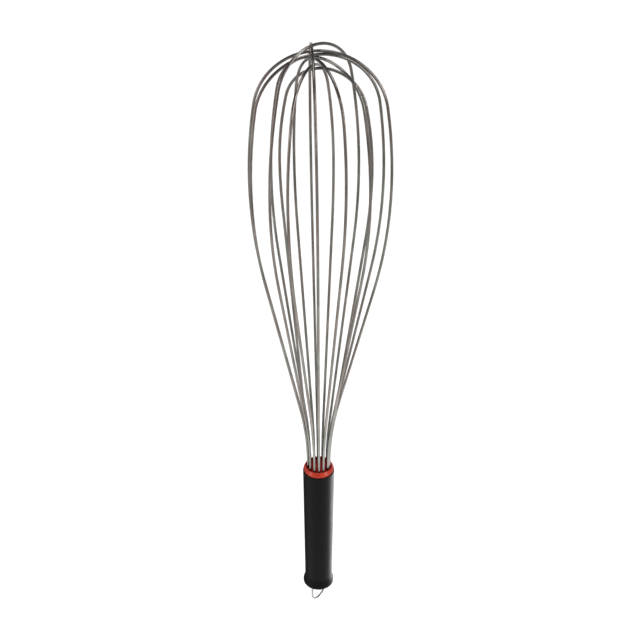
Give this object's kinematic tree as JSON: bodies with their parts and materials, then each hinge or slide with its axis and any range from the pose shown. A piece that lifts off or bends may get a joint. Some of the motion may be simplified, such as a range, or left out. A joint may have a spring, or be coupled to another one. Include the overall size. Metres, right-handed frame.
{
  "type": "balloon whisk",
  "caption": "Long balloon whisk: stainless wire loops potted in a black composite handle, with a red collar seal and a swinging loop to hang it by.",
  "frame": {"origin": "middle of the handle on the whisk's axis, where a hand holds it (mount grip)", "axes": "+Z along the whisk's axis from the handle towards the wires; +X to the right and +Y away in the usual view"},
  "size_m": [0.1224, 0.1184, 0.6093],
  "materials": {
    "stainless_wire": "drawn, lightly polished",
    "handle_black": "moulded, semi-matte",
    "seal_red": "satin",
    "disc_steel": "stamped",
    "resin_amber": "cast",
    "plug_black": "moulded",
    "loop_steel": "drawn, bright"
  },
  "bodies": {
    "whisk": {"wire_loop_1": "stainless_wire", "wire_loop_2": "stainless_wire", "wire_loop_3": "stainless_wire", "wire_loop_4": "stainless_wire", "wire_loop_5": "stainless_wire", "wire_loop_6": "stainless_wire", "wire_loop_7": "stainless_wire", "wire_loop_8": "stainless_wire", "handle_shell": "handle_black", "collar_seal": "seal_red", "wire_guide_disc": "disc_steel", "potting_resin": "resin_amber", "end_plug": "plug_black"},
    "hanging_loop": {"hanging_loop": "loop_steel"}
  },
  "joints": [
    {"name": "hanging_loop_swing", "type": "hinge", "parent": "whisk", "child": "hanging_loop", "pos_m": [0, 0, -0.073], "axis": [0.6428, 0.766, 0], "range_deg": [-60, 60]}
  ]
}
